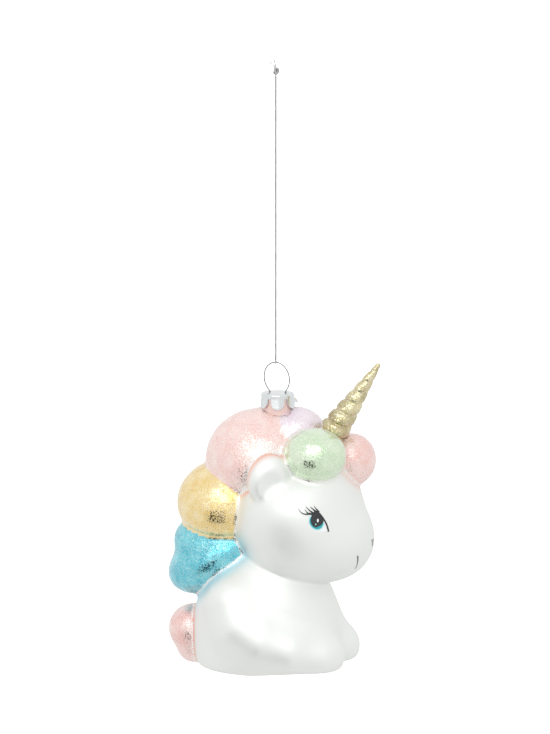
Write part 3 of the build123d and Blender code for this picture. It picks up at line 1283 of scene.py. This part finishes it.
NOSTRIL = ((372.0, 539.5), (372.4, 543), (372.0, 546.5))
MOUTH = ((357.6, 555.8), (357.8, 559), (357.5, 562), (356.6, 566), (355.0, 569))


def face() -> list[Mark]:
    """Lists the painted marks of one side of the face.

    Returns:
        The marks, from the lowest coat up.
    """
    white = BrushPaintFinish("eye_white", paint(250, 253, 253))
    pale = BrushPaintFinish("eye_pale_blue", paint(176, 238, 238))
    blue = BrushPaintFinish("eye_blue", paint(30, 170, 178))
    black = BrushPaintFinish("eye_black", paint(34, 36, 40), roughness=0.25)
    soft_black = BrushPaintFinish("mouth_dark", paint(70, 72, 74))
    grey = BrushPaintFinish("nostril_grey", paint(150, 152, 150))
    lashes = [Mark(f"lash_{k}", lash, 4, black, 1.9, Stroke.TAPER_IN) for k, lash in enumerate(LASHES)]
    return [
        Mark("eye_ground", EYE_GROUND, 0, white),
        Mark("eye_rim", EYE_RIM, 1, pale),
        Mark("eye_iris", EYE_IRIS, 2, blue),
        Mark("eye_pupil", EYE_PUPIL, 3, black),
        # Painted highlights on the pupil, in white and pale blue paint
        Mark("eye_glint", EYE_GLINT, 5, white),
        Mark("eye_small_glint", EYE_SMALL_GLINT, 5, pale),
        Mark("eye_lid", EYE_LID, 4, black, 1.5),
        *lashes,
        Mark("nostril", NOSTRIL, 0, grey, 1.3, Stroke.TAPER_OUT),
        Mark("mouth", MOUTH, 0, soft_black, 1.4, Stroke.TAPER_OUT),
    ]


# Studio

@dataclass
class Studio:
    """A white studio: a pale floor, even light, a soft box by the camera and a dark card below it."""

    view: Viewpoint
    figure_middle: float = 50.0
    floor_drop: float = 150.0
    floor_size: float = 12000.0
    wall_distance: float = 5500.0
    light_below: float = 0.83
    light_above: float = 0.95
    box_way: Vec3 = (-0.234, 0.37, 0.897)
    box_distance: float = 1100.0
    box_width: float = 900.0
    box_height: float = 720.0
    box_power: float = 3.0
    card_way: Vec3 = (-0.42, -0.62, 0.66)
    card_distance: float = 900.0
    card_size: float = 560.0

    def facing(self, way: Vec3, distance: float) -> Matrix:
        """Finds where a light or card stands when it is turned towards the figure.

        Args:
            way: right, up and towards the camera.
            distance: how far from the figure, in millimetres.

        Returns:
            Its place and turn.
        """
        middle = Vector((0.0, 0.0, (BASE_HEIGHT + self.figure_middle) * MM))
        offset = Vector(np.array(way) @ np.array(self.view.axes())).normalized() * distance * MM
        return Matrix.Translation(middle + offset) @ (-offset).to_track_quat("-Z", "Y").to_matrix().to_4x4()

    def square(self, name: str, size: float, finish: Material) -> Piece:
        """Makes a flat square that is part of the studio.

        Args:
            name: the square's name.
            size: how long its sides are.
            finish: its finish.

        Returns:
            The square, lying flat.
        """
        half = size / 2
        corners = np.array(((-half, -half, 0), (half, -half, 0), (half, half, 0), (-half, half, 0)))
        piece = make_piece(name, corners, [(0, 1, 2, 3)], finish)
        return piece

    def room(self) -> None:
        """Makes the even light, which is a little weaker from below."""
        sheet = NodeSheet(bpy.data.worlds.new("white_room"), "Background")
        ways = sheet.add("TexCoord").outputs["Generated"]
        height = sheet.fill(sheet.add("SeparateXYZ"), {"Vector": ways}).outputs["Z"]
        light = sheet.spread(height, (-1.0, self.light_below), (1.0, self.light_above))
        sheet.shade(Color=(1.0, 1.0, 1.0, 1.0), Strength=light)
        bpy.context.scene.world = sheet.owner

    def backdrop(self) -> None:
        """Makes the pale floor and the wall behind it."""
        pale = NodeSheet(bpy.data.materials.new("white_floor"))
        pale.shade(Base_Color=(0.9, 0.9, 0.9, 1.0), Roughness=0.9, Emission_Color=(1.0, 1.0, 1.0, 1.0),
                   Emission_Strength=1.0)
        floor = self.square("studio_floor", self.floor_size, pale.owner)
        floor.location.z = (BASE_HEIGHT - self.floor_drop) * MM
        wall = self.square("studio_wall", self.floor_size, pale.owner)
        _, _, back = self.view.axes()
        flat = Vector((back[0], back[1], 0.0)).normalized()
        turn = flat.to_track_quat("Z", "Y").to_matrix().to_4x4()
        wall.matrix_world = Matrix.Translation(-flat * self.wall_distance * MM) @ turn
        for sheet in (floor, wall):
            sheet.visible_glossy = False
            sheet.visible_diffuse = False
            sheet.visible_shadow = False

    def build(self) -> None:
        """Makes the room, the backdrop, the soft box and the dark card."""
        self.room()
        self.backdrop()
        light = bpy.data.lights.new("soft_box", "AREA")
        light.shape = "RECTANGLE"
        light.size = self.box_width * MM
        light.size_y = self.box_height * MM
        light.energy = self.box_power
        lamp = bpy.data.objects.new("soft_box", light)
        lamp.matrix_world = self.facing(self.box_way, self.box_distance)
        bpy.context.collection.objects.link(lamp)
        dark = NodeSheet(bpy.data.materials.new("dark_card"))
        dark.shade(Base_Color=(0.01, 0.01, 0.01, 1.0), Roughness=1.0)
        card = self.square("dark_card", self.card_size, dark.owner)
        card.matrix_world = self.facing(self.card_way, self.card_distance)
        card.visible_camera = False
        card.visible_shadow = False


# Finish of the metal pieces, whose shape is the part's own

def dress(node: str, finish: Material) -> Piece:
    """Gives a piece of the part its finish.

    Args:
        node: the piece's name in the part.
        finish: the material for all its slots.

    Returns:
        The piece.
    """
    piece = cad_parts[node]
    for slot in piece.material_slots:
        slot.material = finish
    return piece


# Colours and places of the curls

def mane() -> list[Curl]:
    """Lists the curls of the mane and the tail.

    Returns:
        One curl for each glitter layer of the part.
    """
    coral = GlitterFinish("coral_glitter", paint(252, 228, 222), paint(247, 202, 194), flat_share=0.16)
    lilac = GlitterFinish("lilac_glitter", paint(246, 236, 242), paint(234, 214, 228), flat_share=0.14)
    mint = GlitterFinish("mint_glitter", paint(228, 242, 218), paint(200, 226, 188))
    peach = GlitterFinish("peach_glitter", paint(250, 224, 218), paint(244, 192, 184), flat_share=0.14)
    gold = GlitterFinish("gold_glitter", paint(250, 230, 176), paint(238, 202, 112), frost=0.35)
    turquoise = GlitterFinish("turquoise_glitter", paint(136, 222, 233), paint(36, 174, 198), frost=0.2)
    pink = GlitterFinish("pink_glitter", paint(250, 226, 221), paint(243, 186, 178), flat_share=0.22)
    return [
        Curl("crown_glitter", (Swelling((-6.0, 0.0, 74.4), (19.6, 16.6, 18.5)),
                               Swelling((-1.0, 0.0, 84.4), (7.8, 8.2, 9.2))), coral, fade=4.5),
        Curl("top_lock_glitter", (Swelling((7.3, 1.5, 85.6), (10.1, 10.0, 8.3)),), lilac),
        Curl("right_lock_glitter", (Swelling((17.8, -10.0, 79.0), (11.2, 9.4, 9.6)),), mint, rimmed=True),
        Curl("left_lock_glitter", (Swelling((14.0, 10.4, 76.5), (9.6, 8.5, 8.5)),), mint),
        Curl("forelock_glitter", (Swelling((27.1, 4.0, 75.6), (8.6, 9.0, 9.4)),), peach),
        Curl("nape_lock_glitter", (Swelling((-18.2, 0.0, 58.4), (18.0, 17.6, 15.8)),), gold),
        Curl("shoulder_lock_glitter", (Swelling((-21.5, 0.0, 38.6), (20.0, 16.0, 11.6), pitch=-30.0),
                                       Swelling((-26.0, 0.0, 45.0), (11.5, 13.0, 8.5))), turquoise),
        Curl("tail_glitter", (Swelling((-30.4, -2.0, 12.0), (9.0, 8.8, 8.9)),
                              Swelling((-29.8, -2.0, 3.8), (5.6, 5.8, 4.4))), pink),
    ]


def oversprays() -> list[Overspray]:
    """Lists the airbrushed edges on the pearl paint.

    Returns:
        One entry for each edge.
    """
    return [
        Overspray("shoulder_lock_glitter", paint(170, 222, 236), 3.6, 0.75),
        Overspray("tail_glitter", paint(242, 158, 140), 1.1, 0.95),
        Overspray("crown_glitter", paint(250, 176, 150), 1.2, 0.95),
        Overspray("nape_lock_glitter", paint(250, 236, 206), 2.2, 0.55),
        Overspray("forelock_glitter", paint(246, 206, 190), 1.8, 0.6),
        Overspray("right_lock_glitter", paint(236, 240, 226), 1.2, 0.4),
    ]


def main() -> None:
    """Builds the ornament piece by piece."""
    logging.basicConfig(level=logging.INFO)
    bpy.context.scene.view_settings.view_transform = "Standard"
    view = Viewpoint()
    log.info("camera: %s", view.build().name)
    thread_finish = ThreadFinish("silver_thread").make()
    knot = ThreadKnot().build(thread_finish)
    thread = HangingThread().build(thread_finish, knot)
    log.info("thread and knot: %s, %s", thread.name, knot.name)
    wire = dress("hanger_wire", BrightMetalFinish("drawn_wire", paint(158, 159, 160), 0.34).make())
    cap = dress("cap", BrightMetalFinish("pressed_cap", paint(232, 236, 237), 0.12, ripple=0.16).make())
    log.info("metal: %s, %s", wire.name, cap.name)
    pearl = PearlFinish("pearl_paint").make()
    pieces = GlassFigure(mane(), oversprays()).build(pearl)
    for name, piece in pieces.items():
        log.info("glass: %s, %d faces", name, len(piece.data.polygons))
    log.info("neck: %s", GlassNeck().build(pearl).name)
    gold = GlitterFinish("horn_gold", paint(232, 222, 178), paint(164, 146, 92), grain_size=0.4, lean=0.6,
                         metal=0.95)
    collar_gold = BrightMetalFinish("collar_gold", paint(208, 192, 140), 0.3)
    for piece in Horn().build(gold.make(), collar_gold.make()):
        log.info("horn: %s", piece.name)
    skin = pieces["glass_figure"].data
    head = BVHTree.FromPolygons([v.co for v in skin.vertices], [list(p.vertices) for p in skin.polygons])
    for mark in FacePaint(view, head).build(face()):
        log.info("painted mark: %s", mark.name)
    Studio(view).build()


if __name__ == "__main__":
    main()
